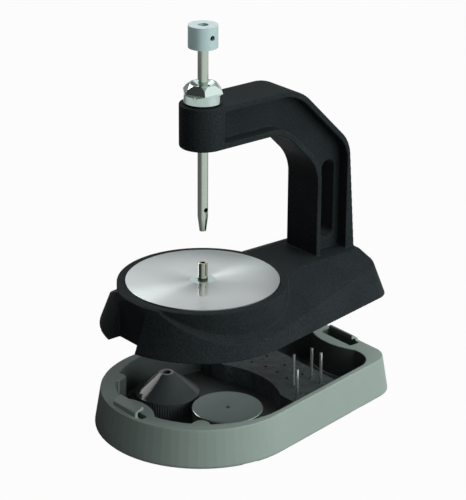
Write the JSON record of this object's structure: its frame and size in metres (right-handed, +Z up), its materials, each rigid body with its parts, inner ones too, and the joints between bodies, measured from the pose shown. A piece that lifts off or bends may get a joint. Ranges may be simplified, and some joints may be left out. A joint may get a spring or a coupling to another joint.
{
  "type": "bracelet pin press",
  "caption": "Bench press for watch bracelet pins: cast C-frame with round steel work plate and sliding spindle, lifted off a storage tray with anvils and punches.",
  "frame": {"origin": "on the spindle's axis, at the surface that the press stands on", "axes": "+Z up along the spindle, +Y from the spindle to the column, +X to the right seen from the nose of the tray"},
  "size_m": [0.1232, 0.1796, 0.2399],
  "materials": {
    "tray_casting": "grey coated die casting, satin",
    "mat_rubber": "matt",
    "block_plastic": "fine texture",
    "black_anvil": "gloss black",
    "grey_anvil": "satin grey anodised",
    "punch_steel": "ground",
    "frame_casting": "black powder coat, fine texture",
    "plate_steel": "ground and polished",
    "bush_steel": "turned",
    "stake_steel": "turned and hardened",
    "nut_chrome": "bright plated",
    "spindle_steel": "ground",
    "knob_alloy": "satin",
    "screw_steel": "blackened"
  },
  "bodies": {
    "tray": {"base_tray": "tray_casting", "base_mat": "mat_rubber", "storage_block": "block_plastic", "block_screws": "screw_steel"},
    "frame": {"press_frame": "frame_casting", "work_plate": "plate_steel", "plate_bush": "bush_steel", "plate_screws": "screw_steel", "guide_bush": "bush_steel", "collet": "bush_steel"},
    "nut": {"collet_nut": "nut_chrome"},
    "spindle": {"spindle": "spindle_steel", "spindle_knob": "knob_alloy", "knob_set_screw": "screw_steel"},
    "stake": {"table_stake": "stake_steel"},
    "cone_anvil": {"cone_anvil": "black_anvil"},
    "flat_anvil": {"flat_anvil": "grey_anvil"},
    "punch_1": {"punch_1": "punch_steel"},
    "punch_2": {"punch_2": "punch_steel"},
    "punch_3": {"punch_3": "punch_steel"},
    "punch_4": {"punch_4": "punch_steel"}
  },
  "joints": [
    {"name": "frame_lift", "type": "slide", "parent": "tray", "child": "frame", "axis": [0, 0, 1], "range_m": [-0.0402, 0.02]},
    {"name": "spindle_slide", "type": "slide", "parent": "frame", "child": "spindle", "axis": [0, 0, 1], "range_m": [-0.0195, 0.045]},
    {"name": "nut_turn", "type": "hinge", "parent": "frame", "child": "nut", "pos_m": [0, 0, 0.199], "axis": [0, 0, 1], "range_deg": [0, 180]},
    {"name": "stake_lift", "type": "slide", "parent": "frame", "child": "stake", "axis": [0, 0, 1], "range_m": [0, 0.012]},
    {"name": "cone_anvil_lift", "type": "slide", "parent": "tray", "child": "cone_anvil", "axis": [0, 0, 1], "range_m": [0, 0.03]},
    {"name": "flat_anvil_lift", "type": "slide", "parent": "tray", "child": "flat_anvil", "axis": [0, 0, 1], "range_m": [0, 0.03]},
    {"name": "punch_1_lift", "type": "slide", "parent": "tray", "child": "punch_1", "axis": [0, 0, 1], "range_m": [0, 0.02]},
    {"name": "punch_2_lift", "type": "slide", "parent": "tray", "child": "punch_2", "axis": [0, 0, 1], "range_m": [0, 0.02]},
    {"name": "punch_3_lift", "type": "slide", "parent": "tray", "child": "punch_3", "axis": [0, 0, 1], "range_m": [0, 0.02]},
    {"name": "punch_4_lift", "type": "slide", "parent": "tray", "child": "punch_4", "axis": [0, 0, 1], "range_m": [0, 0.02]}
  ]
}
